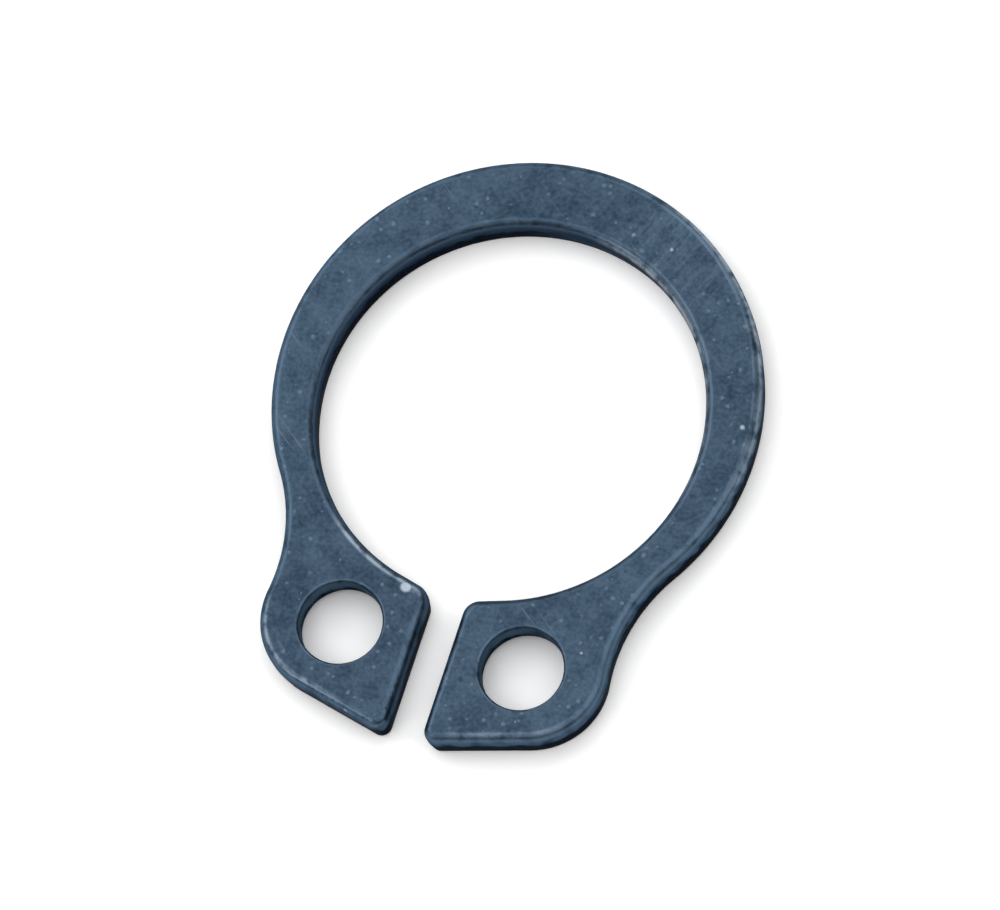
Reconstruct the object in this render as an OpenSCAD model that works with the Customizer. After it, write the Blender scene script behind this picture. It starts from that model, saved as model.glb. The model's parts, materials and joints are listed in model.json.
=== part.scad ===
// External retaining ring (circlip) for a 10 mm shaft, in its free state.
// One piece, stamped from spring steel strip and tumbled.
// The bore's axis is Z, the bore's centre at mid thickness is the origin,
// and the gap and its two lugs point towards -Y.

/* [Band] */
// Free inner diameter of the ring
bore_d = 9.3; // [7.5:0.05:12]
// Thickness of the strip
thickness = 1; // [0.7:0.05:1.4]
// Width of the band opposite the gap, where it is widest
band_back_w = 1.66; // [1.4:0.02:2]
// Width that the outer circle leaves at the gap, where it is narrowest
band_gap_w = 0.76; // [0.6:0.02:1.1]

/* [Lugs] */
// Width of the gap between the two lugs
gap_w = 0.9; // [0.4:0.05:1.4]
// Height of a lug's tip over the bore
lug_h = 3.67; // [3.4:0.01:4]
// Radius of a lug's round outer shoulder
shoulder_r = 1.85; // [1.6:0.05:2]
// Distance of the shoulder's centre from the lug's gap face
shoulder_inset = 1.95; // [1.8:0.01:2.2]
// Distance of the shoulder's centre from the lug's tip
shoulder_drop = 2.44; // [2.3:0.01:2.6]
// Radius of the hollow blend between the band and the shoulder
blend_r = 4.2; // [2.5:0.1:5]
// Radius of a lug's outer corner at the gap
tip_corner_r = 0.3; // [0.29:0.01:0.6]

/* [Relief] */
// Angle from the gap at which the inner edge leaves the bore in a straight line
relief_angle = 16; // [10:0.5:20]
// Radius of a lug's inner corner at the gap
inner_corner_r = 0.42; // [0.3:0.01:0.6]

/* [Plier holes] */
// Diameter of the plier holes
hole_d = 2; // [1.5:0.02:2.2]
// Distance of a hole's centre from the lug's gap face
hole_inset = 1.81; // [1.7:0.01:1.95]
// Distance of a hole's centre from the lug's tip
hole_drop = 2.31; // [2.2:0.01:2.5]

/* [Edges] */
// Rounding of the upper edges, the die's side
top_edge_r = 0.25; // [0.1:0.01:0.27]
// Rounding of the lower edges
bottom_edge_r = 0.08; // [0.04:0.01:0.12]
// Rounding of the plier holes' upper mouths
mouth_r = 0.2; // [0.1:0.01:0.25]
// Rounding of the plier holes' lower mouths, the side that they are pierced from
pierced_mouth_r = 0.3; // [0.1:0.01:0.35]
// Flats that each rounding is made of
edge_flats = 3; // [1:1:5]

/* [Hidden] */
$fn = 180;
STEEL_BLUE = [0.27, 0.34, 0.42];

// How far neighbouring outline curves bite into each other, so that they cross
// at a few degrees where they would otherwise only touch
bite = 0.006;
// How far a cutting shape runs past the plate's faces
over = 0.5;

bore_r = bore_d / 2;
hole_r = hole_d / 2;
half_gap = gap_w / 2;
half_t = thickness / 2;

// The outer circle is set back from the bore's centre, which tapers the band
outer_r = bore_r + (band_back_w + band_gap_w) / 2;
outer_shift = (band_back_w - band_gap_w) / 2;
far = 4 * outer_r;

tip_y = -(bore_r + lug_h);
tip = [half_gap, tip_y];
outer_c = [0, outer_shift];
shoulder_c = [half_gap + shoulder_inset, tip_y + shoulder_drop];
hole_c = [half_gap + hole_inset, tip_y + hole_drop];
blend_c = third_centre(
    shoulder_c, shoulder_r + blend_r - bite,
    outer_c, outer_r + blend_r - bite
);

// The lug's slanted outer edge runs from the tip along the shoulder
to_shoulder = shoulder_c - tip;
slant = atan2(to_shoulder.y, to_shoulder.x)
    - asin((shoulder_r - bite) / norm(to_shoulder));

// The relief is a straight edge along the bore, from its foot to the gap
relief_foot = (bore_r - bite) * [sin(relief_angle), -cos(relief_angle)];
inner_corner = [
    half_gap,
    relief_foot.y - (relief_foot.x - half_gap) * tan(relief_angle)
];

// Centre of a circle at distance ra from a and rb from b, on the right of a to b
function third_centre(a, ra, b, rb) =
    let (
        d = norm(b - a),
        u = (b - a) / d,
        along = (ra * ra - rb * rb + d * d) / (2 * d),
        aside = sqrt(ra * ra - along * along)
    )
    a + along * u + aside * [u.y, -u.x];

// A quarter rounding of radius r as [depth, height] pairs: depth is how far the
// surface lies inside the wall, and height is measured down from the plate's face
function rounding(r) = [
    for (i = [0 : edge_flats])
        let (a = 90 * i / edge_flats)
        [r * (1 - sin(a)), r * (1 - cos(a))]
];

// The wall's section from its lower edge to its upper edge, as [depth, z] pairs
function wall(low_r, high_r) = concat(
    [for (p = rounding(low_r)) [p.x, p.y - half_t]],
    [for (i = [edge_flats : -1 : 0]) let (p = rounding(high_r)[i]) [p.x, half_t - p.y]]
);

// A round plate with rounded edges. Its narrowed ends run past the faces by past.
module round_plate(r, past = 0) {
    section = wall(bottom_edge_r, top_edge_r);
    rotate_extrude()
        polygon(concat(
            [[0, -half_t - past], [r - bottom_edge_r, -half_t - past]],
            [for (p = section) [r - p.x, p.y]],
            [[r - top_edge_r, half_t + past], [0, half_t + past]]
        ));
}

// What a round cut takes away, with mouths that leave rounded edges behind
module round_cut(r, low_r = bottom_edge_r, high_r = top_edge_r) {
    rotate_extrude()
        polygon(concat(
            [[0, -half_t - over], [r + low_r, -half_t - over]],
            [for (p = wall(low_r, high_r)) [r + p.x, p.y]],
            [[r + high_r, half_t + over], [0, half_t + over]]
        ));
}

// What a straight cut takes away: all of y < 0 from x = 0 to x = length, apart
// from the rounded edges that it leaves behind at y > 0
module straight_cut(length, depth) {
    rotate([90, 0, 90])
        linear_extrude(length)
            polygon(concat(
                [[-depth, -half_t - over], [bottom_edge_r, -half_t - over]],
                [for (p = wall(bottom_edge_r, top_edge_r)) [p.x, p.y]],
                [[top_edge_r, half_t + over], [-depth, half_t + over]]
            ));
}

// A plain upright block over an outline, past both faces by past
module block(points, past = 0) {
    translate([0, 0, -half_t - past])
        linear_extrude(thickness + 2 * past)
            polygon(points);
}

// Rounds off an outer corner whose edges leave it at angles a and b
module corner_cut(corner, a, b, r) {
    half = (b - a) / 2;
    reach = (r - bite) / sin(half);
    centre = corner + reach * [cos(a + half), sin(a + half)];
    difference() {
        block([
            centre,
            centre + 2 * r * [sin(a), -cos(a)],
            corner - reach * [cos(a + half), sin(a + half)],
            centre + 2 * r * [-sin(b), cos(b)]
        ], over);
        translate(centre) round_plate(r, 2 * over);
    }
}

// One lug's blank: the shoulder, the body out past the tip and the blended neck
module lug_blank() {
    translate(shoulder_c) round_plate(shoulder_r);
    block([
        shoulder_c,
        shoulder_c + 2 * shoulder_r * [sin(slant), -cos(slant)],
        [-half_gap, 2 * tip_y],
        [-half_gap, -bore_r],
        outer_c
    ]);
    difference() {
        block([outer_c, shoulder_c, blend_c]);
        translate(blend_c) round_cut(blend_r);
    }
}

// One lug's cuts: slanted edge, gap face, relief, both corners and the plier hole
module lug_cuts() {
    translate(tip)
        rotate(slant)
            translate([-far / 2, 0])
                straight_cut(far, far);
    translate([half_gap, 0])
        rotate(-90)
            straight_cut(far, 0.75 * gap_w);
    translate(relief_foot)
        rotate(180 + relief_angle)
            straight_cut(relief_foot.x / cos(relief_angle), relief_foot.x);
    corner_cut(tip, slant, 90, tip_corner_r);
    corner_cut(inner_corner, -90, relief_angle, inner_corner_r);
    translate(hole_c) round_cut(hole_r, pierced_mouth_r, mouth_r);
}

// Both halves of something drawn for the lug on the right
module both_sides() {
    children();
    mirror([1, 0, 0]) children();
}

module retaining_ring() {
    color(STEEL_BLUE)
        difference() {
            union() {
                translate(outer_c) round_plate(outer_r);
                both_sides() lug_blank();
            }
            round_cut(bore_r);
            both_sides() lug_cuts();
        }
}

retaining_ring();
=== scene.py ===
"""An external retaining ring in blackened spring steel, dressed and lit for its picture.

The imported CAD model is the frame. Its node for the ring is replaced by a finer mesh of the same
outline: Geometry Nodes sweep the rounded wall round the outline and the plier holes, close the two
faces and nick the edges. The steel, the floor and the lamps are built here too.
"""

from __future__ import annotations

import json
import logging
import math
from dataclasses import dataclass
from enum import Enum
from typing import Any

import bpy
from mathutils import Matrix, Vector

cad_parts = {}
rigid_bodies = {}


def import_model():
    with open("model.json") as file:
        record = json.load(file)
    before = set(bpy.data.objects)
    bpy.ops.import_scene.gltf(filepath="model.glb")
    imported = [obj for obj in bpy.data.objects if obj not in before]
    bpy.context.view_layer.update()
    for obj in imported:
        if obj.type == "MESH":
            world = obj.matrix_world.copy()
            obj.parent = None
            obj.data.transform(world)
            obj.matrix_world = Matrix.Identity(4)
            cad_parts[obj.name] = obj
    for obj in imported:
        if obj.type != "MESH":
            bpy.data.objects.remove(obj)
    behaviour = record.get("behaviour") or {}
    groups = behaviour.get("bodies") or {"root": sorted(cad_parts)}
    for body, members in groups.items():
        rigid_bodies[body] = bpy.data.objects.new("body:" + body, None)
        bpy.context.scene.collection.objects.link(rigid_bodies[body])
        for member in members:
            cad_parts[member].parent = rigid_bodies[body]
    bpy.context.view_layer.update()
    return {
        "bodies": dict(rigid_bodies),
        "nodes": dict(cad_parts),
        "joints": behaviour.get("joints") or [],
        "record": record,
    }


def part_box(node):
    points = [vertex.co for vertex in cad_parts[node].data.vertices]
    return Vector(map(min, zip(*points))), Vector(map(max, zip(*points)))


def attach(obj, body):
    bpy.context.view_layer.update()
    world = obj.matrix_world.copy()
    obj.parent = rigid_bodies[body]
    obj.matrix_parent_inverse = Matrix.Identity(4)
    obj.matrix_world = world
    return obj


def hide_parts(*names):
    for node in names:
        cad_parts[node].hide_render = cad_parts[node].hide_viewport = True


LOG = logging.getLogger("retaining_ring")

MM = 0.001
IMAGE_WIDTH = 1000
RING_NODE = "retaining_ring"
PIECE_NAME = "retaining_ring_steel"
RING_BODY = "root"
CAMERA_NAME = "picture_camera"
STEEL_SLOT = "blackened_spring_steel"
ROUNDING_MASK = "rounding"
WALL_MASK = "wall"
BROW_MASK = "brow"

Socket = bpy.types.NodeSocket
Tree = bpy.types.NodeTree
Triple = tuple[float, float, float]
Pair = tuple[float, float]


class Turn(Enum):
    """The way an arc runs, seen from above."""

    LEFT = 1
    RIGHT = -1


class Side(Enum):
    """The side of the gap that a lug is on."""

    RIGHT = 1
    LEFT = -1


@dataclass(frozen=True)
class Arc:
    """A round stretch of the outline, in millimetres and degrees."""

    centre: Vector
    radius: float
    start: float
    sweep: float
    turn: Turn

    @classmethod
    def between(cls, centre: Vector, radius: float, start: float, end: float, turn: Turn) -> Arc:
        """Make the arc that runs from one angle to another the given way.

        Args:
            centre: The arc's centre.
            radius: Its radius.
            start: The angle that it starts at.
            end: The angle that it ends at.
            turn: The way that it runs.

        Returns:
            The arc.
        """
        return cls(centre, radius, start, (turn.value * (end - start)) % 360, turn)

    @classmethod
    def at_corner(cls, corner: Vector, along: float, away: float, radius: float) -> Arc:
        """Make the arc that rounds one of the plate's outer corners.

        Args:
            corner: The sharp corner.
            along: The direction, seen from the corner, of the edge that the outline comes along.
            away: The direction of the edge that it leaves along.
            radius: The arc's radius.

        Returns:
            The arc, tangent to both edges. The plate lies between away and along, turning left.
        """
        half = (along - away) % 360 / 2
        middle = math.radians(away + half)
        reach = radius / math.sin(math.radians(half))
        centre = corner + reach * Vector((math.cos(middle), math.sin(middle)))
        return cls.between(centre, radius, along + 90, away - 90, Turn.LEFT)

    def points(self, step: float) -> list[Vector]:
        """Return points along the arc, both ends included.

        Args:
            step: The most that two neighbouring points may lie apart.

        Returns:
            The points, in the arc's own direction.
        """
        count = max(2, math.ceil(math.radians(self.sweep) * self.radius / step))
        turned = [self.start + self.turn.value * self.sweep * i / count for i in range(count + 1)]
        spokes = [Vector((math.cos(math.radians(a)), math.sin(math.radians(a)))) for a in turned]
        return [self.centre + self.radius * spoke for spoke in spokes]


def bearing(origin: Vector, target: Vector) -> float:
    """Return the angle in degrees at which target is seen from origin."""
    way = target - origin
    return math.degrees(math.atan2(way.y, way.x))


def third_centre(a: Vector, reach_a: float, b: Vector, reach_b: float) -> Vector:
    """Find the point at given distances from two others.

    Args:
        a: The first point.
        reach_a: Its distance from the point sought.
        b: The second point.
        reach_b: Its distance from the point sought.

    Returns:
        The point on the right of the way from a to b.
    """
    apart = (b - a).length
    along = (reach_a**2 - reach_b**2 + apart**2) / (2 * apart)
    aside = math.sqrt(reach_a**2 - along**2)
    way = (b - a).normalized()
    return a + along * way + aside * Vector((way.y, -way.x))


@dataclass(frozen=True)
class RingOutline:
    """The ring's outline from above, in millimetres and degrees. Its gap points towards -Y."""

    bore_radius: float
    outer_radius: float
    outer_shift: float
    hole_radius: float
    hole_centre: Vector
    gap_width: float = 0.9
    lug_height: float = 3.67
    shoulder_radius: float = 1.85
    shoulder_inset: float = 1.95
    shoulder_drop: float = 2.44
    blend_radius: float = 4.2
    tip_corner_radius: float = 0.3
    relief_angle: float = 16.0
    inner_corner_radius: float = 0.42

    @classmethod
    def from_frame(cls, frame: dict[str, Any]) -> RingOutline:
        """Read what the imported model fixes: the bore, the outer circle and the plier holes.


        Returns:
            The outline, with its other sizes as the fields' defaults.
        """
        mounts = {mount["name"]: mount for mount in frame["record"]["mounts"]}
        hole = mounts["plier_hole_right"]
        highest = Vector(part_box(RING_NODE)[1]) / MM
        return cls(
            bore_radius=mounts["shaft_bore"]["dims"]["r_mm"],
            outer_radius=highest.x,
            outer_shift=highest.y - highest.x,
            hole_radius=hole["dims"]["r_mm"],
            hole_centre=Vector(hole["pos_m"][:2]) / MM,
        )

    def arcs(self) -> list[Arc]:
        """Work out the right half's round stretches, with straight edges between them.

        Returns:
            The arcs from the bore's back round the lug to the ring's back, steel on their left.
        """
        half_gap = self.gap_width / 2
        bore = Vector((0, 0))
        outer = Vector((0, self.outer_shift))
        tip = Vector((half_gap, -self.bore_radius - self.lug_height))
        shoulder = tip + Vector((self.shoulder_inset, self.shoulder_drop))
        blend = third_centre(
            shoulder,
            self.shoulder_radius + self.blend_radius,
            outer,
            self.outer_radius + self.blend_radius,
        )
        narrowing = math.asin(self.shoulder_radius / (shoulder - tip).length)
        slant = bearing(tip, shoulder) - math.degrees(narrowing)
        relief = math.radians(self.relief_angle)
        foot = self.bore_radius * Vector((math.sin(relief), -math.cos(relief)))
        corner = Vector((half_gap, foot.y - (foot.x - half_gap) * math.tan(relief)))
        neck_start = bearing(shoulder, blend)
        neck_end = bearing(outer, blend)
        return [
            Arc.between(bore, self.bore_radius, 90, bearing(bore, foot), Turn.RIGHT),
            Arc.at_corner(corner, self.relief_angle, -90, self.inner_corner_radius),
            Arc.at_corner(tip, 90, slant, self.tip_corner_radius),
            Arc.between(shoulder, self.shoulder_radius, slant - 90, neck_start, Turn.LEFT),
            Arc.between(blend, self.blend_radius, neck_start + 180, neck_end + 180, Turn.RIGHT),
            Arc.between(outer, self.outer_radius, neck_end, 90, Turn.LEFT),
        ]

    def loop(self, step: float) -> list[Vector]:
        """Return the whole outline once round, with the ring's steel on its left.

        Args:
            step: The most that two neighbouring points may lie apart.

        Returns:
            The points, none of them twice. Straight stretches are divided as the arcs are.
        """
        right = [point for arc in self.arcs() for point in arc.points(step)]
        left = [Vector((-point.x, point.y)) for point in reversed(right)]
        joints = right[:-1] + left[:-1]
        loop = []
        for here, there in zip(joints, joints[1:] + joints[:1]):
            apart = (there - here).length
            if apart > step / 1000:
                parts = max(1, round(apart / step))
                loop.extend(here.lerp(there, i / parts) for i in range(parts))
        return loop


@dataclass(frozen=True)
class WallSection:
    """The section of the ring's wall, in millimetres."""

    upper_rounding: float = 0.25
    lower_rounding: float = 0.08
    upper_mouth: float = 0.1
    lower_mouth: float = 0.45
    taper: float = 0.06
    rim: float = 0.02
    rounding_steps: int = 10
    # How far the brows may go bare and take painted highlights.
    brow_wear_and_highlight: float = 1.0


@dataclass(frozen=True)
class Nicks:
    """The small dents that tumbling left along the rounded edges, in millimetres."""

    depth: float = 0.006
    spacing: float = 0.3
    threshold: float = 0.56
    seed: float = 3.0


class NodeMaker:
    """Adds nodes to a node tree, sets them and links them."""

    def __init__(self, tree: Tree) -> None:
        """Keep the tree that the nodes go into."""
        self.tree = tree

    def feed(self, socket: Socket, value: Any) -> None:
        """Link an input to another node's output, or set it.

        Args:
            socket: The input.
            value: An output socket, or the input's own value.
        """
        if isinstance(value, bpy.types.NodeSocket):
            self.tree.links.new(value, socket)
        else:
            socket.default_value = value

    def add(
        self, kind: str, inputs: dict[str | int, Any] | None = None, **settings: Any
    ) -> bpy.types.Node:
        """Add a node.

        Args:
            kind: The node's type name.
            inputs: What its inputs are fed, by name or number.
            settings: The node's own properties.

        Returns:
            The node.
        """
        node = self.tree.nodes.new(kind)
        for name, value in settings.items():
            setattr(node, name, value)
        for key, value in (inputs or {}).items():
            self.feed(node.inputs[key], value)
        return node

    def math(self, operation: str, first: Any, second: Any = 0.0) -> Socket:
        """Return the result of one step of arithmetic.

        Args:
            operation: The Math node's operation.
            first: Its first number or socket.
            second: Its second number or socket, where it has one.

        Returns:
            The output socket.
        """
        return self.add("ShaderNodeMath", {0: first, 1: second}, operation=operation).outputs[0]

    def product(self, first: Any, *factors: Any) -> Any:
        """Return the product of numbers or sockets.

        Args:
            first: The first of them.
            factors: The others.

        Returns:
            The output socket.
        """
        for factor in factors:
            first = self.math("MULTIPLY", first, factor)
        return first

    def ramp(self, value: Any, low: Any, high: Any, to_low: Any = 0.0, to_high: Any = 1.0) -> Socket:
        """Return value as it goes smoothly from to_low at low to to_high at high.

        Args:
            value: The number or socket to map.
            low: Where the change starts.
            high: Where it ends.
            to_low: The result up to low.
            to_high: The result from high on.

        Returns:
            The output socket.
        """
        ends = {"Value": value, "From Min": low, "From Max": high, "To Min": to_low, "To Max": to_high}
        node = self.add("ShaderNodeMapRange", ends, interpolation_type="SMOOTHSTEP")
        return node.outputs["Result"]


@dataclass(frozen=True)
class NodeGroup:
    """A node group that is being built."""

    make: NodeMaker
    given: Any
    result: Any

    @classmethod
    def start(cls, name: str, kind: str, inputs: dict[str, str], outputs: dict[str, str]) -> NodeGroup:
        """Make an empty group.

        Args:
            name: The group's name.
            kind: GeometryNodeTree or ShaderNodeTree.
            inputs: The names of its inputs, each with its type such as Float.
            outputs: The names of its outputs, each with its type.

        Returns:
            The group, with the outputs of its input node and the inputs of its output node.
        """
        tree = bpy.data.node_groups.new(name, kind)
        for way, sockets in (("INPUT", inputs), ("OUTPUT", outputs)):
            for label, sort in sockets.items():
                tree.interface.new_socket(name=label, in_out=way, socket_type=f"NodeSocket{sort}")
        make = NodeMaker(tree)
        given = make.add("NodeGroupInput").outputs
        return cls(make, given, make.add("NodeGroupOutput").inputs)


class PlateTree:
    """The Geometry Nodes that turn an outline into a pierced plate with rounded edges."""

    SECTION_SIZES = {
        **dict.fromkeys(("Thickness", "Upper Rounding", "Lower Rounding", "Taper", "Rim"), "Float"),
        "Rounding Steps": "Int",
        "Wear": "Float",
    }
    HOLE_SIZES = {
        **dict.fromkeys(("Hole Radius", "Upper Mouth", "Lower Mouth"), "Float"),
        "Hole Steps": "Int",
        "Right Hole": "Vector",
        "Left Hole": "Vector",
    }
    NICK_SIZES = dict.fromkeys(("Nick Depth", "Nick Spacing", "Nick Threshold", "Nick Seed"), "Float")
    WELD = 0.00002 * MM
    NICK_BLEND = 0.15
    NICK_DETAIL = 3.0

    # The section's slopes between which each mask goes from 0 to 1
    ROUNDED_SLOPES = (0.25, 0.95)
    WALL_SLOPES = (0.6, 1.0)
    BROW_RISES = (0.1, 0.4)
    BROW_RUNS = (0.65, 0.9)

    def section(self) -> Tree:
        """Build the group for the wall's section: an open curve from the lower rim to the upper.

        Returns:
            The group. The section's X is outwards from the steel, and its Y is down.
        """
        group = NodeGroup.start(
            "wall_section", "GeometryNodeTree", self.SECTION_SIZES, {"Section": "Geometry"}
        )
        make, given = group.make, group.given
        half = make.product(given["Thickness"], 0.5)
        up = make.product(half, -1.0)
        upper_in = make.math("ADD", given["Upper Rounding"], given["Rim"])
        lower_in = make.math("ADD", given["Lower Rounding"], given["Rim"])
        foot = make.product(given["Taper"], -1.0)
        corners = (
            (make.math("SUBTRACT", foot, lower_in), half, 0.0),
            (foot, half, given["Lower Rounding"]),
            (0.0, 0.0, given["Upper Rounding"]),
            (0.0, up, given["Upper Rounding"]),
            (make.product(upper_in, -1.0), up, 0.0),
        )
        index = make.add("GeometryNodeInputIndex").outputs[0]
        place = make.add("GeometryNodeIndexSwitch", {"Index": index}, data_type="VECTOR")
        radius = make.add("GeometryNodeIndexSwitch", {"Index": index}, data_type="FLOAT")
        for switch in (place, radius):
            for _ in range(len(corners) - 2):
                switch.index_switch_items.new()
        for number, (x, y, rounding) in enumerate(corners, start=1):
            corner = make.add("ShaderNodeCombineXYZ", {"X": x, "Y": y})
            make.feed(place.inputs[number], corner.outputs[0])
            make.feed(radius.inputs[number], rounding)
        line = make.add("GeometryNodeCurvePrimitiveLine").outputs[0]
        count = {"Curve": line, "Count": len(corners)}
        divided = make.add("GeometryNodeResampleCurve", count, mode="COUNT").outputs[0]
        bent = make.add("GeometryNodeSetPosition", {0: divided, "Position": place.outputs[0]})
        rounded = make.add(
            "GeometryNodeFilletCurve",
            {"Curve": bent.outputs[0], "Count": given["Rounding Steps"], "Radius": radius.outputs[0]},
            mode="POLY",
        )
        make.feed(group.result["Section"], self.masked(make, rounded.outputs[0], given["Wear"]))
        return make.tree

    def masked(self, make: NodeMaker, section: Socket, wear_and_highlight: Socket) -> Socket:
        """Note on a section's points what kind of place they are.

        Args:
            make: The group's node maker.
            section: The section.
            wear_and_highlight: How far its brows may go bare and take painted highlights, from 0 to 1.

        Returns:
            The section with three masks: its rounded edges, its wall, and the brow, which is
            where a rounding leaves the face.
        """
        tangent = make.add("GeometryNodeInputTangent").outputs[0]
        parts = make.add("ShaderNodeSeparateXYZ", {0: tangent}).outputs
        across = make.math("ABSOLUTE", parts["X"])
        upright = make.math("ABSOLUTE", parts["Y"])
        both = make.product(across, upright, 2.0)
        rise = make.ramp(upright, *self.BROW_RISES)
        brow = make.product(rise, make.ramp(across, *self.BROW_RUNS))
        masks = {
            ROUNDING_MASK: make.ramp(both, *self.ROUNDED_SLOPES),
            WALL_MASK: make.ramp(upright, *self.WALL_SLOPES),
            BROW_MASK: make.product(brow, wear_and_highlight),
        }
        for name, value in masks.items():
            kept = {"Geometry": section, "Name": name, "Value": value}
            node = make.add("GeometryNodeStoreNamedAttribute", kept, data_type="FLOAT", domain="POINT")
            section = node.outputs[0]
        return section

    def walled_loop(self, section: Tree) -> Tree:
        """Build the group that raises a wall on a closed loop with the steel on its left.

        Args:
            section: The group that makes the wall's section.

        Returns:
            The group. It puts out the wall, and the loops where it meets the two faces.
        """
        group = NodeGroup.start(
            "walled_loop",
            "GeometryNodeTree",
            {"Loop": "Geometry", **self.SECTION_SIZES},
            {"Wall": "Geometry", "Upper Loop": "Geometry", "Lower Loop": "Geometry"},
        )
        make, given = group.make, group.given
        loop = make.add("GeometryNodeSetCurveNormal", {"Curve": given["Loop"]}, mode="Z_UP").outputs[0]
        sizes = {name: given[name] for name in self.SECTION_SIZES}
        profile = make.add("GeometryNodeGroup", sizes, node_tree=section).outputs[0]
        swept = make.add("GeometryNodeCurveToMesh", {"Curve": loop, "Profile Curve": profile})
        wall = make.add("GeometryNodeFlipFaces", {"Mesh": swept.outputs[0]})
        smooth = make.add("GeometryNodeSetShadeSmooth", {0: wall.outputs[0], "Shade Smooth": True})
        make.feed(group.result["Wall"], smooth.outputs[0])
        tangent = make.add("GeometryNodeInputTangent").outputs[0]
        parts = make.add("ShaderNodeSeparateXYZ", {0: tangent}).outputs
        back = make.product(parts["Y"], -1.0)
        inwards = make.add("ShaderNodeCombineXYZ", {"X": back, "Y": parts["X"]}).outputs[0]
        for face, lean in (("Upper", 0.0), ("Lower", given["Taper"])):
            depth = make.math("ADD", given[f"{face} Rounding"], given["Rim"])
            depth = make.math("ADD", depth, lean)
            offset = make.add("ShaderNodeVectorMath", {0: inwards, "Scale": depth}, operation="SCALE")
            inset = make.add("GeometryNodeSetPosition", {0: loop, "Offset": offset.outputs[0]})
            make.feed(group.result[f"{face} Loop"], inset.outputs[0])
        return make.tree

    def loops(self, make: NodeMaker, given: Any) -> list[tuple[Socket, dict[str, Any]]]:
        """Make the closed curves that the walls stand on.

        Args:
            make: The tree's node maker.
            given: The tree's inputs.

        Returns:
            The outline and the two holes, each with the sizes of its wall.
        """
        outline = make.add("GeometryNodeMeshToCurve", {"Mesh": given["Outline"]}).outputs[0]
        circle = make.add(
            "GeometryNodeCurvePrimitiveCircle",
            {"Resolution": given["Hole Steps"], "Radius": given["Hole Radius"]},
            mode="RADIUS",
        )
        clockwise = make.add("GeometryNodeReverseCurve", {"Curve": circle.outputs[0]}).outputs[0]
        sizes = {name: given[name] for name in self.SECTION_SIZES}
        mouths = {"Upper Rounding": given["Upper Mouth"], "Lower Rounding": given["Lower Mouth"]}
        loops = [(outline, sizes)]
        for hole in ("Right Hole", "Left Hole"):
            placed = make.add("GeometryNodeTransform", {0: clockwise, "Translation": given[hole]})
            loops.append((placed.outputs[0], {**sizes, **mouths, "Wear": 0.0}))
        return loops

    @staticmethod
    def face(make: NodeMaker, loops: Socket, height: Socket, below: bool) -> Socket:
        """Fill one of the plate's two flat faces.

        Args:
            make: The tree's node maker.
            loops: The curves that bound it, at mid height.
            height: The face's own height.
            below: Whether it looks down.

        Returns:
            The face.
        """
        filled = make.add("GeometryNodeFillCurve", {"Curve": loops}, mode="TRIANGLES").outputs[0]
        rise = make.add("ShaderNodeCombineXYZ", {"Z": height}).outputs[0]
        moved = make.add("GeometryNodeTransform", {0: filled, "Translation": rise}).outputs[0]
        flat = make.add("GeometryNodeSetShadeSmooth", {0: moved, "Shade Smooth": False}).outputs[0]
        return make.add("GeometryNodeFlipFaces", {"Mesh": flat}).outputs[0] if below else flat

    def plate(self) -> Tree:
        """Build the whole tree.

        Returns:
            The tree. Its input is the outline as a closed ring of mesh edges.
        """
        walled = self.walled_loop(self.section())
        sizes = {**self.SECTION_SIZES, **self.HOLE_SIZES, **self.NICK_SIZES}
        inputs = {"Outline": "Geometry", **sizes, "Material": "Material"}
        group = NodeGroup.start("rounded_plate", "GeometryNodeTree", inputs, {"Plate": "Geometry"})
        make, given = group.make, group.given
        outputs = ("Wall", "Upper Loop", "Lower Loop")
        joined = {name: make.add("GeometryNodeJoinGeometry") for name in outputs}
        for loop, wall_sizes in self.loops(make, given):
            wall = make.add("GeometryNodeGroup", {"Loop": loop, **wall_sizes}, node_tree=walled)
            for name, join in joined.items():
                make.feed(join.inputs[0], wall.outputs[name])
        pieces = make.add("GeometryNodeJoinGeometry")
        make.feed(pieces.inputs[0], joined["Wall"].outputs[0])
        for name, share, below in (("Upper Loop", 0.5, False), ("Lower Loop", -0.5, True)):
            height = make.product(given["Thickness"], share)
            make.feed(pieces.inputs[0], self.face(make, joined[name].outputs[0], height, below))
        welded = make.add(
            "GeometryNodeMergeByDistance", {"Geometry": pieces.outputs[0], "Distance": self.WELD}
        )
        nicked = self.nicked(make, given, welded.outputs[0])
        whole = make.add("GeometryNodeRealizeInstances", {"Geometry": nicked}).outputs[0]
        painted = make.add("GeometryNodeSetMaterial", {"Geometry": whole, "Material": given["Material"]})
        make.feed(group.result["Plate"], painted.outputs[0])
        return make.tree

    def nicked(self, make: NodeMaker, given: Any, plate: Socket) -> Socket:
        """Sink small dents into the rounded edges.

        Args:
            make: The tree's node maker.
            given: The tree's inputs.
            plate: The smooth plate.

        Returns:
            The plate with its dents. Nothing moves outwards.
        """
        position = make.add("GeometryNodeInputPosition").outputs[0]
        often = make.math("DIVIDE", 1.0, given["Nick Spacing"])
        noise = make.add(
            "ShaderNodeTexNoise",
            {"Vector": position, "W": given["Nick Seed"], "Scale": often, "Detail": self.NICK_DETAIL},
            noise_dimensions="4D",
        )
        high = make.math("ADD", given["Nick Threshold"], self.NICK_BLEND)
        dents = make.ramp(noise.outputs[0], given["Nick Threshold"], high)
        edge = make.add("GeometryNodeInputNamedAttribute", {"Name": ROUNDING_MASK}, data_type="FLOAT")
        amount = make.product(dents, edge.outputs[0])
        depth = make.product(amount, given["Nick Depth"], -1.0)
        normal = make.add("GeometryNodeInputNormal").outputs[0]
        offset = make.add("ShaderNodeVectorMath", {0: normal, "Scale": depth}, operation="SCALE")
        moved = make.add("GeometryNodeSetPosition", {0: plate, "Offset": offset.outputs[0]})
        return moved.outputs[0]


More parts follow.
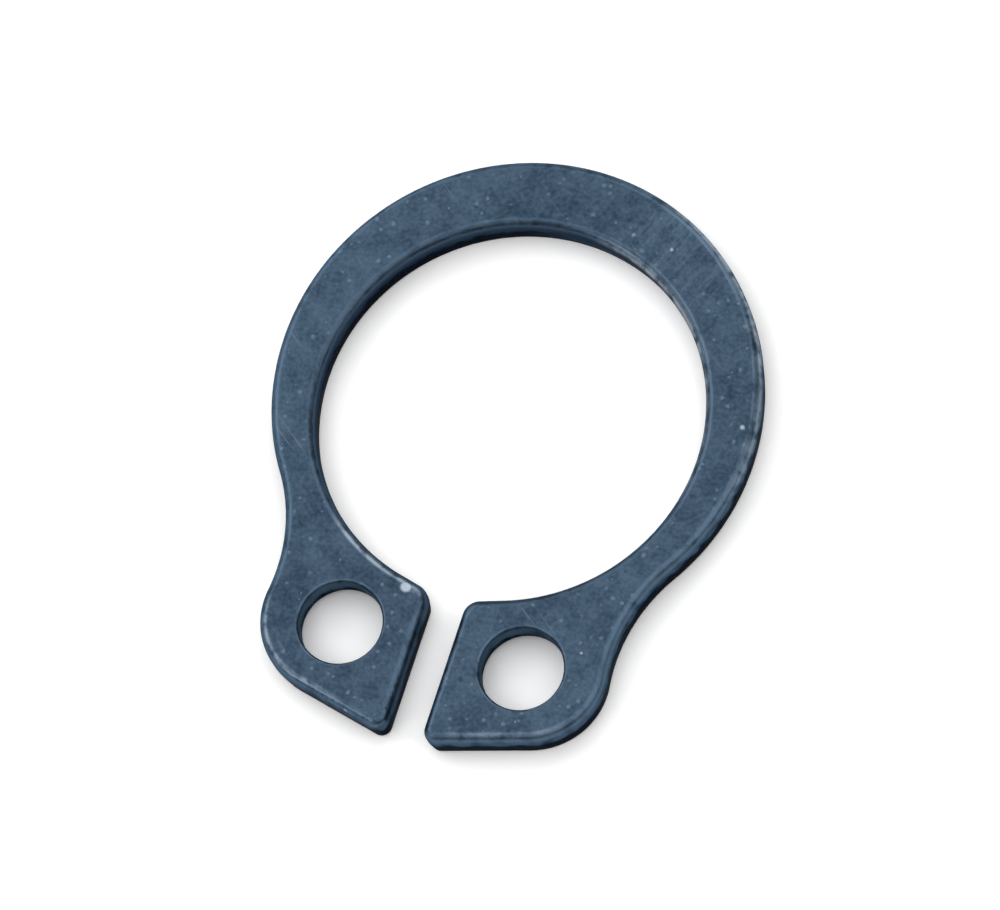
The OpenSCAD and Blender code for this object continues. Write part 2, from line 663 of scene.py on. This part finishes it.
@dataclass(frozen=True)
class Spots:
    """Small scattered spots, in millimetres. Share is of the places that bear one."""

    spacing: float
    radius: float
    share: float
    strength: float


@dataclass(frozen=True)
class Lines:
    """Faint straight lines that run one way, in millimetres and degrees."""

    width: float
    length: float
    angle: float
    threshold: float


@dataclass(frozen=True)
class SteelPattern:
    """The marks on the steel, in millimetres."""

    cloud: float = 2.4
    mottle: float = 0.36
    grain: float = 0.1
    flecks: Spots = Spots(spacing=0.2, radius=0.055, share=0.4, strength=0.5)
    specks: Spots = Spots(spacing=0.5, radius=0.055, share=0.14, strength=0.75)
    pits: Spots = Spots(spacing=0.3, radius=0.07, share=0.3, strength=0.55)
    scratches: Lines = Lines(width=0.05, length=1.3, angle=38, threshold=0.68)
    scuffs: Lines = Lines(width=0.06, length=0.45, angle=-66, threshold=0.5)


@dataclass(frozen=True)
class MarkedPlace:
    """A round place on the steel, in millimetres. Some bear bare steel and scuffs, others painted
    highlights and a painted glint, and one marks where painted shade is left off.
    """

    middle: Triple
    reach: float
    share: float


class SteelGroups:
    """The shader node groups that put marks on the steel. Each is built once."""

    # Each layer of the tone: its name, its noise's detail and its share
    TONE_LAYERS = (("Cloud", 2.0, 0.3), ("Mottle", 4.0, 0.4), ("Grain", 2.0, 0.3))
    # The noise's levels at which a layer is dark and light
    TONE_LEVELS = (0.3, 0.7)
    SMALLEST_SPOT = 0.45
    SPOT_CORE = 0.4
    LINE_SCALE = 0.5
    LINE_BLEND = 0.1
    PLACE_CORE = 0.5

    def __init__(self) -> None:
        """Build the groups."""
        self.tone = self.tone_group()
        self.spots = self.spot_group()
        self.scratches = self.scratch_group()
        self.place = self.place_group()

    def tone_group(self) -> Tree:
        """Build the group for the uneven tone: broad clouds, mottle and fine grain.

        Returns:
            The group. Its tone goes from 0 for dark to 1 for light.
        """
        inputs = {"Place": "Vector", **{f"{layer[0]} Size": "Float" for layer in self.TONE_LAYERS}}
        outputs = dict.fromkeys(("Tone", "Mottle", "Grain"), "Float")
        group = NodeGroup.start("steel_tone", "ShaderNodeTree", inputs, outputs)
        make, given = group.make, group.given
        tone: Any = 0.0
        for name, detail, share in self.TONE_LAYERS:
            scale = make.math("DIVIDE", 1.0, given[f"{name} Size"])
            noise = make.add(
                "ShaderNodeTexNoise", {"Vector": given["Place"], "Scale": scale, "Detail": detail}
            )
            level = make.ramp(noise.outputs[0], *self.TONE_LEVELS)
            tone = make.math("ADD", tone, make.product(level, share))
            if name in group.result:
                make.feed(group.result[name], level)
        make.feed(group.result["Tone"], tone)
        return make.tree

    def spot_group(self) -> Tree:
        """Build the group for small scattered spots of uneven size.

        Returns:
            The group. Its mask is 1 in the spots, and its share is of the places that bear one.
        """
        inputs = {"Place": "Vector", "Spacing": "Float", "Radius": "Float", "Share": "Float"}
        group = NodeGroup.start("steel_spots", "ShaderNodeTree", inputs, {"Mask": "Float"})
        make, given = group.make, group.given
        scale = make.math("DIVIDE", 1.0, given["Spacing"])
        often = make.math("DIVIDE", 1.0, given["Radius"])
        noise = make.add("ShaderNodeTexNoise", {"Vector": given["Place"], "Scale": often, "Detail": 1.0})
        shift = make.add(
            "ShaderNodeVectorMath", {0: noise.outputs["Color"], 1: (0.5,) * 3}, operation="SUBTRACT"
        )
        bend = make.add(
            "ShaderNodeVectorMath", {0: shift.outputs[0], "Scale": given["Radius"]}, operation="SCALE"
        )
        bent = make.add("ShaderNodeVectorMath", {0: given["Place"], 1: bend.outputs[0]}, operation="ADD")
        place = {"Vector": bent.outputs[0], "Scale": scale}
        cells = make.add("ShaderNodeTexVoronoi", place).outputs
        chance = make.add("ShaderNodeSeparateColor", {0: cells["Color"]}).outputs
        reach = make.product(cells["Distance"], given["Spacing"])
        swell = make.math("ADD", chance["Green"], self.SMALLEST_SPOT)
        size = make.product(given["Radius"], swell)
        inner = make.product(size, self.SPOT_CORE)
        inside = make.ramp(reach, inner, size, 1.0, 0.0)
        chosen = make.math("LESS_THAN", chance["Red"], given["Share"])
        make.feed(group.result["Mask"], make.product(inside, chosen))
        return make.tree

    def scratch_group(self) -> Tree:
        """Build the group for faint straight scratches that run one way.

        Returns:
            The group. Its mask is 1 along the scratches.
        """
        sizes = {"Width": "Float", "Length": "Float", "Threshold": "Float"}
        inputs = {"Place": "Vector", "Angle": "Vector", **sizes}
        group = NodeGroup.start("steel_scratches", "ShaderNodeTree", inputs, {"Mask": "Float"})
        make, given = group.make, group.given
        turned = make.add(
            "ShaderNodeVectorRotate",
            {"Vector": given["Place"], "Rotation": given["Angle"]},
            rotation_type="EULER_XYZ",
        ).outputs[0]
        along = make.math("DIVIDE", 1.0, given["Length"])
        across = make.math("DIVIDE", 1.0, given["Width"])
        stretch = make.add("ShaderNodeCombineXYZ", {"X": along, "Y": across, "Z": along}).outputs[0]
        drawn = make.add("ShaderNodeVectorMath", {0: turned, 1: stretch}, operation="MULTIPLY")
        field = {"Vector": drawn.outputs[0], "Scale": self.LINE_SCALE, "Detail": 1.0}
        noise = make.add("ShaderNodeTexNoise", field)
        high = make.math("ADD", given["Threshold"], self.LINE_BLEND)
        make.feed(group.result["Mask"], make.ramp(noise.outputs[0], given["Threshold"], high))
        return make.tree

    def place_group(self) -> Tree:
        """Build the group for one round place with a soft border.

        Returns:
            The group. Its mask is 1 in the middle and 0 beyond the reach.
        """
        inputs = {"Place": "Vector", "Middle": "Vector", "Reach": "Float"}
        group = NodeGroup.start("marked_place", "ShaderNodeTree", inputs, {"Mask": "Float"})
        make, given = group.make, group.given
        ends = {0: given["Place"], 1: given["Middle"]}
        away = make.add("ShaderNodeVectorMath", ends, operation="DISTANCE").outputs["Value"]
        near = make.product(given["Reach"], self.PLACE_CORE)
        make.feed(group.result["Mask"], make.ramp(away, near, given["Reach"], 1.0, 0.0))
        return make.tree


class SteelSurface:
    """What a material's node tree knows of each point of the steel, as sockets."""

    def __init__(self, make: NodeMaker, pattern: SteelPattern) -> None:
        """Read the point's place and masks, and lay the uneven tone on it.

        Args:
            make: The material's node maker.
            pattern: The marks on the steel.
        """
        self.make = make
        self.groups = SteelGroups()
        coordinates = make.add("ShaderNodeTexCoord").outputs["Object"]
        scaled = make.add("ShaderNodeMapping", {"Vector": coordinates, "Scale": (1 / MM,) * 3})
        self.place = scaled.outputs[0]
        self.parts = make.add("ShaderNodeSeparateXYZ", {0: self.place}).outputs
        self.rounding = self.attribute(ROUNDING_MASK)
        self.wall = self.attribute(WALL_MASK)
        self.brow = self.attribute(BROW_MASK)
        self.edge = make.math("MAXIMUM", self.wall, self.rounding)
        tones = self.use(
            self.groups.tone,
            {"Cloud Size": pattern.cloud, "Mottle Size": pattern.mottle, "Grain Size": pattern.grain},
        )
        self.tone, self.mottle, self.grain = tones["Tone"], tones["Mottle"], tones["Grain"]
        self.pits = self.spots(pattern.pits)

    def attribute(self, name: str) -> Socket:
        """Return one of the masks that the mesh carries."""
        return self.make.add("ShaderNodeAttribute", attribute_name=name).outputs["Fac"]

    def use(self, group: Tree, inputs: dict[str, Any]) -> Any:
        """Return the outputs of a group that is given the place and these inputs."""
        return self.make.add("ShaderNodeGroup", {"Place": self.place, **inputs}, node_tree=group).outputs

    def spots(self, spots: Spots) -> Socket:
        """Return the mask of scattered spots."""
        inputs = {"Spacing": spots.spacing, "Radius": spots.radius, "Share": spots.share}
        return self.use(self.groups.spots, inputs)["Mask"]

    def lines(self, lines: Lines) -> Socket:
        """Make the mask of faint straight lines.

        Args:
            lines: Their sizes.

        Returns:
            The mask.
        """
        inputs = {
            "Angle": (0.0, 0.0, math.radians(lines.angle)),
            "Width": lines.width,
            "Length": lines.length,
            "Threshold": lines.threshold,
        }
        return self.use(self.groups.scratches, inputs)["Mask"]

    def place_share(self, *places: MarkedPlace) -> Any:
        """Work out how far round places reach, for bare steel, scuffs, painted highlights, the painted
        glint and where painted shade is left off.

        Args:
            places: The round places.

        Returns:
            The largest of their shares at each point.
        """
        most: Any = 0.0
        for spot in places:
            mask = self.use(self.groups.place, {"Middle": spot.middle, "Reach": spot.reach})["Mask"]
            most = self.make.math("MAXIMUM", most, self.make.product(mask, spot.share))
        return most

    def mix(self, share: Any, first: Any, second: Any) -> Socket:
        """Turn one colour into another.

        Args:
            share: How far, from 0 to 1.
            first: The colour or socket that it starts from.
            second: The colour or socket that it turns into.

        Returns:
            The colour between them.
        """
        node = self.make.add("ShaderNodeMix", {0: share}, data_type="RGBA")
        for number, colour in ((6, first), (7, second)):
            value = (*colour, 1.0) if isinstance(colour, tuple) else colour
            self.make.feed(node.inputs[number], value)
        return node.outputs[2]


@dataclass(frozen=True)
class BlackenedSteel:
    """Satin blue-black coat on tumbled spring steel, with painted light and shade on its edges.

    Lengths are in millimetres, and heights are over mid thickness. A blend's two numbers are the
    levels of the mottle between which its effect sets in.
    """

    face_dark: Triple = (0.015, 0.031, 0.052)
    face_light: Triple = (0.067, 0.104, 0.152)
    # Painted light: the walls and roundings are partly burnished steel and partly painted light that
    # lifts them towards the face's brightness.
    burnished_and_lit_colour: Triple = (0.088, 0.142, 0.208)
    # Painted highlights: this bare colour is partly bare steel and partly painted highlights along lit
    # edges, and it makes the painted glint.
    bare_and_highlight_colour: Triple = (0.36, 0.43, 0.50)
    # Painted shade: the lower wall's near-black is partly the broken zone's own colour and partly
    # painted shade at the wall's foot.
    broken_and_shaded_colour: Triple = (0.012, 0.019, 0.030)
    # Painted shade: the bore's walls are darker, partly as less tumbled steel and partly as painted
    # shade in the bore.
    bore_dull_and_shade_colour: Triple = (0.040, 0.064, 0.098)
    fleck_colour: Triple = (0.130, 0.185, 0.245)
    speck_colour: Triple = (0.32, 0.38, 0.43)
    pit_colour: Triple = (0.018, 0.030, 0.048)
    scratch_strength: float = 0.12
    burnish_and_light_blend: Pair = (-0.6, 0.9)
    bare_and_highlight_blend: Pair = (-0.1, 0.9)
    bore_reach: float = 5.05
    bore_softness: float = 0.2
    bore_rounding: float = 0.5
    broken_top: float = 0.24
    broken_raggedness: float = 0.1
    broken_strength: float = 0.95
    brow_heights: Pair = (0.0, 0.2)
    rim_heights: Pair = (0.12, 0.34)
    # Places of bare steel that are partly painted highlights along lit brows and rims.
    worn_and_highlit_brows: tuple[MarkedPlace, ...] = (
        MarkedPlace((-1.95, -4.35, 0.4), reach=1.7, share=0.7),
        MarkedPlace((-3.4, -7.4, 0.4), reach=2.1, share=0.45),
        MarkedPlace((2.6, -8.3, 0.4), reach=2.0, share=0.25),
    )
    worn_and_highlit_rims: tuple[MarkedPlace, ...] = (
        MarkedPlace((3.6, 3.9, 0.0), reach=3.4, share=0.8),
        MarkedPlace((4.7, 0.8, 0.0), reach=2.4, share=0.4),
    )
    # Where the wall is lit: the painted shade at its foot is left off here.
    lit_wall: MarkedPlace = MarkedPlace((1.6, 4.5, -0.2), reach=3.0, share=0.85)
    scuff: MarkedPlace = MarkedPlace((2.7, 4.6, 0.4), reach=1.9, share=0.15)
    # A painted glint near the inner corner of a lug.
    glint: MarkedPlace = MarkedPlace((-1.01, -4.78, 0.5), reach=0.17, share=0.85)
    roughness: Pair = (0.40, 0.50)
    rounding_gloss: float = 0.09
    grazing_tint: float = 0.33
    pit_depth: float = 1.2
    bump_strength: float = 0.5
    bump_depth: float = 0.006
    pattern: SteelPattern = SteelPattern()

    def face_colour(self, steel: SteelSurface) -> Socket:
        """Colour the coat: its uneven tone with pits, flecks, scratches, scuffs and specks.

        Args:
            steel: The material's surface.

        Returns:
            The colour.
        """
        pattern = self.pattern
        colour = steel.mix(steel.tone, self.face_dark, self.face_light)
        marks = (
            (steel.pits, pattern.pits.strength, self.pit_colour),
            (steel.spots(pattern.flecks), pattern.flecks.strength, self.fleck_colour),
            (steel.lines(pattern.scratches), self.scratch_strength, self.speck_colour),
            (steel.lines(pattern.scuffs), steel.place_share(self.scuff), self.fleck_colour),
            (steel.spots(pattern.specks), pattern.specks.strength, self.speck_colour),
        )
        for mask, strength, mark_colour in marks:
            colour = steel.mix(steel.make.product(mask, strength), colour, mark_colour)
        return colour

    def bore_dull_and_shade_mask(self, steel: SteelSurface) -> Socket:
        """Mask the wall and the roundings of the bore, which are darkened: partly as steel that the
        tumbling reached less, partly as painted shade in the bore.

        Args:
            steel: The material's surface.

        Returns:
            The mask.
        """
        make = steel.make
        flat = make.add("ShaderNodeCombineXYZ", {"X": steel.parts["X"], "Y": steel.parts["Y"]})
        reach = make.add("ShaderNodeVectorMath", {0: flat.outputs[0]}, operation="LENGTH")
        near = self.bore_reach - self.bore_softness
        inside = make.ramp(reach.outputs["Value"], near, self.bore_reach, 1.0, 0.0)
        walled = make.math("MAXIMUM", steel.wall, make.product(steel.rounding, self.bore_rounding))
        return make.product(inside, walled)

    def broken_and_shaded_mask(self, steel: SteelSurface) -> Socket:
        """Mask the lower wall, where the strip broke and didn't shear and where painted shade darkens
        the wall's foot.

        Args:
            steel: The material's surface.

        Returns:
            The mask, with a ragged border.
        """
        make = steel.make
        ragged = make.math("ADD", steel.parts["Z"], make.product(steel.mottle, self.broken_raggedness))
        low = make.ramp(ragged, 0.0, self.broken_top, 1.0, 0.0)
        # The painted shade at the foot is left off where the wall is lit.
        kept = make.math("SUBTRACT", 1.0, steel.place_share(self.lit_wall))
        return make.product(low, steel.edge, kept, self.broken_strength)

    def bare_and_highlight_mask(self, steel: SteelSurface) -> Socket:
        """Mask the bare colour: bare steel where the coat has come off, together with painted
        highlights, on some brows and upper rims, and a painted glint at one place.

        Args:
            steel: The material's surface.

        Returns:
            The mask.
        """
        make = steel.make
        brow_height = make.ramp(steel.parts["Z"], *self.brow_heights)
        brows = make.product(steel.place_share(*self.worn_and_highlit_brows), steel.brow, brow_height)
        steep = make.product(steel.edge, make.math("SUBTRACT", 1.0, steel.brow))
        rim_height = make.ramp(steel.parts["Z"], *self.rim_heights)
        rims = make.product(steel.place_share(*self.worn_and_highlit_rims), steep, rim_height)
        patchy = make.ramp(steel.mottle, *self.bare_and_highlight_blend)
        bare_and_highlit = make.product(make.math("MAXIMUM", brows, rims), patchy)
        return make.math("MAXIMUM", bare_and_highlit, steel.place_share(self.glint))

    def material(self) -> bpy.types.Material:
        """Build the material.

        Returns:
            The material.
        """
        material = bpy.data.materials.new(STEEL_SLOT)
        material.use_nodes = True
        material.node_tree.nodes.clear()
        make = NodeMaker(material.node_tree)
        steel = SteelSurface(make, self.pattern)
        # Painted light on the walls and roundings: a lighter colour, partly burnished steel and partly
        # painted light.
        burnish_and_light = make.product(steel.edge, make.ramp(steel.mottle, *self.burnish_and_light_blend))
        colour = steel.mix(burnish_and_light, self.face_colour(steel), self.burnished_and_lit_colour)
        # Painted shade in the bore: its walls and roundings darken, partly for less tumbling and partly
        # as painted shade.
        colour = steel.mix(self.bore_dull_and_shade_mask(steel), colour, self.bore_dull_and_shade_colour)
        # Painted shade at the foot of the wall, partly the broken zone's own near-black.
        colour = steel.mix(self.broken_and_shaded_mask(steel), colour, self.broken_and_shaded_colour)
        # Painted highlights: bare colour along lit brows and rims, and a painted glint.
        colour = steel.mix(self.bare_and_highlight_mask(steel), colour, self.bare_and_highlight_colour)
        matt = make.ramp(steel.mottle, 0.0, 1.0, *self.roughness)
        rough = make.math("SUBTRACT", matt, make.product(steel.rounding, self.rounding_gloss))
        height = make.math("SUBTRACT", steel.grain, make.product(steel.pits, self.pit_depth))
        relief = {"Height": height, "Strength": self.bump_strength, "Distance": self.bump_depth * MM}
        shader = make.add(
            "ShaderNodeBsdfPrincipled",
            {
                "Base Color": colour,
                "Metallic": 1.0,
                "Roughness": rough,
                "Specular Tint": (*(self.grazing_tint,) * 3, 1.0),
                "Normal": make.add("ShaderNodeBump", relief).outputs[0],
            },
        )
        make.add("ShaderNodeOutputMaterial", {"Surface": shader.outputs[0]})
        return material


@dataclass
class RetainingRing:
    """The ring: one stamped and tumbled plate."""

    outline: RingOutline
    thickness: float
    section: WallSection = WallSection()
    nicks: Nicks = Nicks()
    step: float = 0.06
    hole_steps: int = 108

    def outline_object(self) -> bpy.types.Object:
        """Draw the outline as a closed ring of mesh edges.

        Returns:
            The object, in the scene.
        """
        points = self.outline.loop(self.step)
        mesh = bpy.data.meshes.new(PIECE_NAME)
        edges = [(i, (i + 1) % len(points)) for i in range(len(points))]
        mesh.from_pydata([(p.x * MM, p.y * MM, 0.0) for p in points], edges, [])
        ring = bpy.data.objects.new(PIECE_NAME, mesh)
        bpy.context.scene.collection.objects.link(ring)
        return ring

    def tree_inputs(self, material: bpy.types.Material) -> dict[str, Any]:
        """Give the tree's inputs their values.

        Args:
            material: The steel.

        Returns:
            The values by the inputs' names, with lengths in metres.
        """
        hole = self.outline.hole_centre * MM
        return {
            "Thickness": self.thickness * MM,
            "Upper Rounding": self.section.upper_rounding * MM,
            "Lower Rounding": self.section.lower_rounding * MM,
            "Taper": self.section.taper * MM,
            "Rim": self.section.rim * MM,
            "Rounding Steps": self.section.rounding_steps,
            "Wear": self.section.brow_wear_and_highlight,
            "Hole Radius": self.outline.hole_radius * MM,
            "Hole Steps": self.hole_steps,
            "Upper Mouth": self.section.upper_mouth * MM,
            "Lower Mouth": self.section.lower_mouth * MM,
            "Right Hole": (Side.RIGHT.value * hole.x, hole.y, 0.0),
            "Left Hole": (Side.LEFT.value * hole.x, hole.y, 0.0),
            "Nick Depth": self.nicks.depth * MM,
            "Nick Spacing": self.nicks.spacing * MM,
            "Nick Threshold": self.nicks.threshold,
            "Nick Seed": self.nicks.seed,
            "Material": material,
        }

    def build(self, material: bpy.types.Material) -> None:
        """Make the ring as a plain mesh and put it in the CAD node's place.

        Args:
            material: The steel.
        """
        ring = self.outline_object()
        tree = PlateTree().plate()
        modifier = ring.modifiers.new("rounded_plate", "NODES")
        modifier.node_group = tree
        values = self.tree_inputs(material)
        for item in tree.interface.items_tree:
            if item.in_out == "INPUT" and item.name in values:
                modifier[item.identifier] = values[item.name]
        graph = bpy.context.evaluated_depsgraph_get()
        solid = bpy.data.meshes.new_from_object(ring.evaluated_get(graph), depsgraph=graph)
        ring.modifiers.remove(modifier)
        ring.data = solid
        solid.name = ring.name
        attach(ring, RING_BODY)
        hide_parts(RING_NODE)
        LOG.info("%s: %d faces", ring.name, len(solid.polygons))


@dataclass(frozen=True)
class PictureView:
    """The photograph's view of the ring. Angles are in degrees, lengths in millimetres."""

    turn: float = -16.3
    tilt: float = 22.2
    tilt_bearing: float = 117.3
    distance: float = 300.0
    pixels_per_mm: float = 42.6
    sensor_width: float = 36.0
    clip_start: float = 10.0

    def to_camera(self) -> Matrix:
        """Work out how the ring's frame is turned to the camera's.

        Returns:
            The rotation.
        """
        side = math.radians(self.tilt_bearing)
        axis = Vector((-math.sin(side), math.cos(side), 0.0))
        tilted = Matrix.Rotation(math.radians(self.tilt), 3, axis)
        return tilted @ Matrix.Rotation(math.radians(self.turn), 3, "Z")

    def level_direction(self, clockwise: float) -> Vector:
        """Return a level direction, given clockwise from the top of the picture."""
        angle = math.radians(90 - clockwise - self.turn)
        return Vector((math.cos(angle), math.sin(angle), 0.0))

    def camera(self, target: Vector) -> None:
        """Make the camera and aim it.

        Args:
            target: The point in the middle of the picture, in metres.
        """
        data = bpy.data.cameras.new(CAMERA_NAME)
        data.sensor_width = self.sensor_width
        data.lens = self.pixels_per_mm * self.sensor_width * self.distance / IMAGE_WIDTH
        data.clip_start = self.clip_start * MM
        camera = bpy.data.objects.new(CAMERA_NAME, data)
        back = self.to_camera().transposed()
        place = target + back @ Vector((0.0, 0.0, self.distance * MM))
        camera.matrix_world = Matrix.Translation(place) @ back.to_4x4()
        bpy.context.scene.collection.objects.link(camera)
        bpy.context.scene.camera = camera


@dataclass(frozen=True)
class SoftLamp:
    """A square lamp that points at the ring. Its share is of the light on a level white card."""

    name: str
    clockwise: float
    elevation: float
    share: float
    size: float
    distance: float = 400.0

    def build(self, view: PictureView, target: Vector) -> None:
        """Make the lamp.

        Args:
            view: The picture's view, which the lamp's direction is given in.
            target: The point that it is aimed at, in metres.
        """
        height = math.radians(self.elevation)
        level = view.level_direction(self.clockwise) * math.cos(height)
        way = level + Vector((0.0, 0.0, math.sin(height)))
        reach = self.distance * MM
        data = bpy.data.lights.new(self.name, "AREA")
        data.shape = "SQUARE"
        data.size = self.size * MM
        data.energy = self.share * 4 * math.pi * reach**2 / math.sin(height)
        lamp = bpy.data.objects.new(self.name, data)
        aim = way.to_track_quat("Z", "Y").to_matrix().to_4x4()
        lamp.matrix_world = Matrix.Translation(target + way * reach) @ aim
        bpy.context.scene.collection.objects.link(lamp)


@dataclass(frozen=True)
class Studio:
    """The pale floor, the plain surroundings and the lamps.

    The floor's gain is what it gives the camera beyond its own colour, to look white there.
    """

    floor_size: float = 1200.0
    floor_colour: Triple = (0.92, 0.92, 0.92)
    floor_gain: float = 0.15
    ambient: float = 0.2
    lamps: tuple[SoftLamp, ...] = (
        SoftLamp("overhead_lamp", clockwise=-30, elevation=72, share=0.80, size=620),
        SoftLamp("back_lamp", clockwise=-34, elevation=22, share=0.04, size=220),
        SoftLamp("fill_lamp", clockwise=164, elevation=54, share=0.17, size=400),
        SoftLamp("left_lamp", clockwise=-74, elevation=34, share=0.08, size=250),
        SoftLamp("lower_left_lamp", clockwise=-126, elevation=30, share=0.05, size=130),
        SoftLamp("upper_lamp", clockwise=26, elevation=34, share=0.08, size=240),
        SoftLamp("right_lamp", clockwise=102, elevation=38, share=0.10, size=280),
    )

    def build(self, view: PictureView, target: Vector, ground: float) -> None:
        """Put up the floor, the world and the lamps.

        Args:
            view: The picture's view.
            target: The point that the lamps are aimed at, in metres.
            ground: The height that the ring lies at, in metres.
        """
        for lamp in self.lamps:
            lamp.build(view, target)
        self.floor(ground)
        self.world()

    def floor(self, ground: float) -> None:
        """Lay the floor.

        Args:
            ground: Its height, in metres.
        """
        half = self.floor_size * MM / 2
        mesh = bpy.data.meshes.new("floor")
        corners = ((-half, -half), (half, -half), (half, half), (-half, half))
        mesh.from_pydata([(x, y, ground) for x, y in corners], [], [(0, 1, 2, 3)])
        mesh.materials.append(self.card())
        floor = bpy.data.objects.new("floor", mesh)
        bpy.context.scene.collection.objects.link(floor)

    def card(self) -> bpy.types.Material:
        """Make the floor's white card.

        Returns:
            The material.
        """
        material = bpy.data.materials.new("white_card")
        material.use_nodes = True
        material.node_tree.nodes.clear()
        make = NodeMaker(material.node_tree)
        card = make.add("ShaderNodeBsdfDiffuse", {"Color": (*self.floor_colour, 1.0)}).outputs[0]
        gain = make.add("ShaderNodeBsdfDiffuse", {"Color": (*(self.floor_gain,) * 3, 1.0)}).outputs[0]
        seen = make.add("ShaderNodeLightPath").outputs["Is Camera Ray"]
        lit = make.add("ShaderNodeMixShader", {0: seen, 2: gain}).outputs[0]
        both = make.add("ShaderNodeAddShader", {0: card, 1: lit}).outputs[0]
        make.add("ShaderNodeOutputMaterial", {"Surface": both})
        return material

    def world(self) -> None:
        """Surround the set with even light, white where the camera sees it."""
        world = bpy.data.worlds.new("studio")
        world.use_nodes = True
        world.node_tree.nodes.clear()
        make = NodeMaker(world.node_tree)
        direct = make.add("ShaderNodeLightPath").outputs["Is Camera Ray"]
        strength = make.ramp(direct, 0.0, 1.0, self.ambient, 1.0)
        background = make.add("ShaderNodeBackground", {"Strength": strength}).outputs[0]
        make.add("ShaderNodeOutputWorld", {"Surface": background})
        bpy.context.scene.world = world


def main() -> None:
    """Build the ring, its camera and its studio in order."""
    logging.basicConfig(level=logging.INFO, format="%(name)s: %(message)s")
    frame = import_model()
    bpy.context.scene.view_settings.view_transform = "Standard"
    lowest, highest = (Vector(corner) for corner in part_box(RING_NODE))
    target = (lowest + highest) / 2
    view = PictureView()
    view.camera(target)
    LOG.info("camera at %.0f mm, tilted %.1f degrees", view.distance, view.tilt)
    ring = RetainingRing(RingOutline.from_frame(frame), (highest.z - lowest.z) / MM)
    ring.build(BlackenedSteel().material())
    Studio().build(view, target, lowest.z)


if __name__ == "__main__":
    main()
